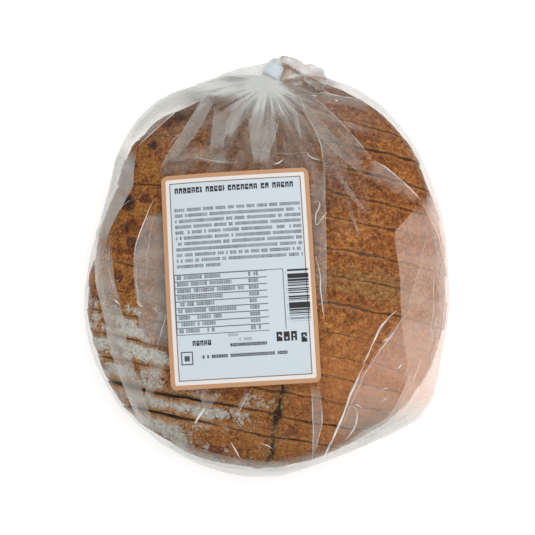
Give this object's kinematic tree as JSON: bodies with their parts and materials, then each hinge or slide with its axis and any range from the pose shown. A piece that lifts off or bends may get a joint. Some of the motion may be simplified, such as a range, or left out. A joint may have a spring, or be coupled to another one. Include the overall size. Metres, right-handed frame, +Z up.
{
  "type": "loaf in bread bag",
  "caption": "Round wholemeal loaf, sliced, lying in a clear film bag with a gathered, taped neck and a paper label on top.",
  "frame": {"origin": "under the middle of the pack's bounding box, on the surface that it lies on", "axes": "+Z up out of the label, +Y from the loaf towards the taped neck, +X to the right of the label"},
  "size_m": [0.2308, 0.2638, 0.0649],
  "materials": {
    "film": "clear thin film over brown crust, glossy with fine creases",
    "label_paper": "satin coated paper, pale blue-white with a tan border",
    "tape": "thin pale plastic tape, satin"
  },
  "bodies": {
    "root": {"bag": "film", "label": "label_paper", "tape": "tape"}
  },
  "joints": []
}
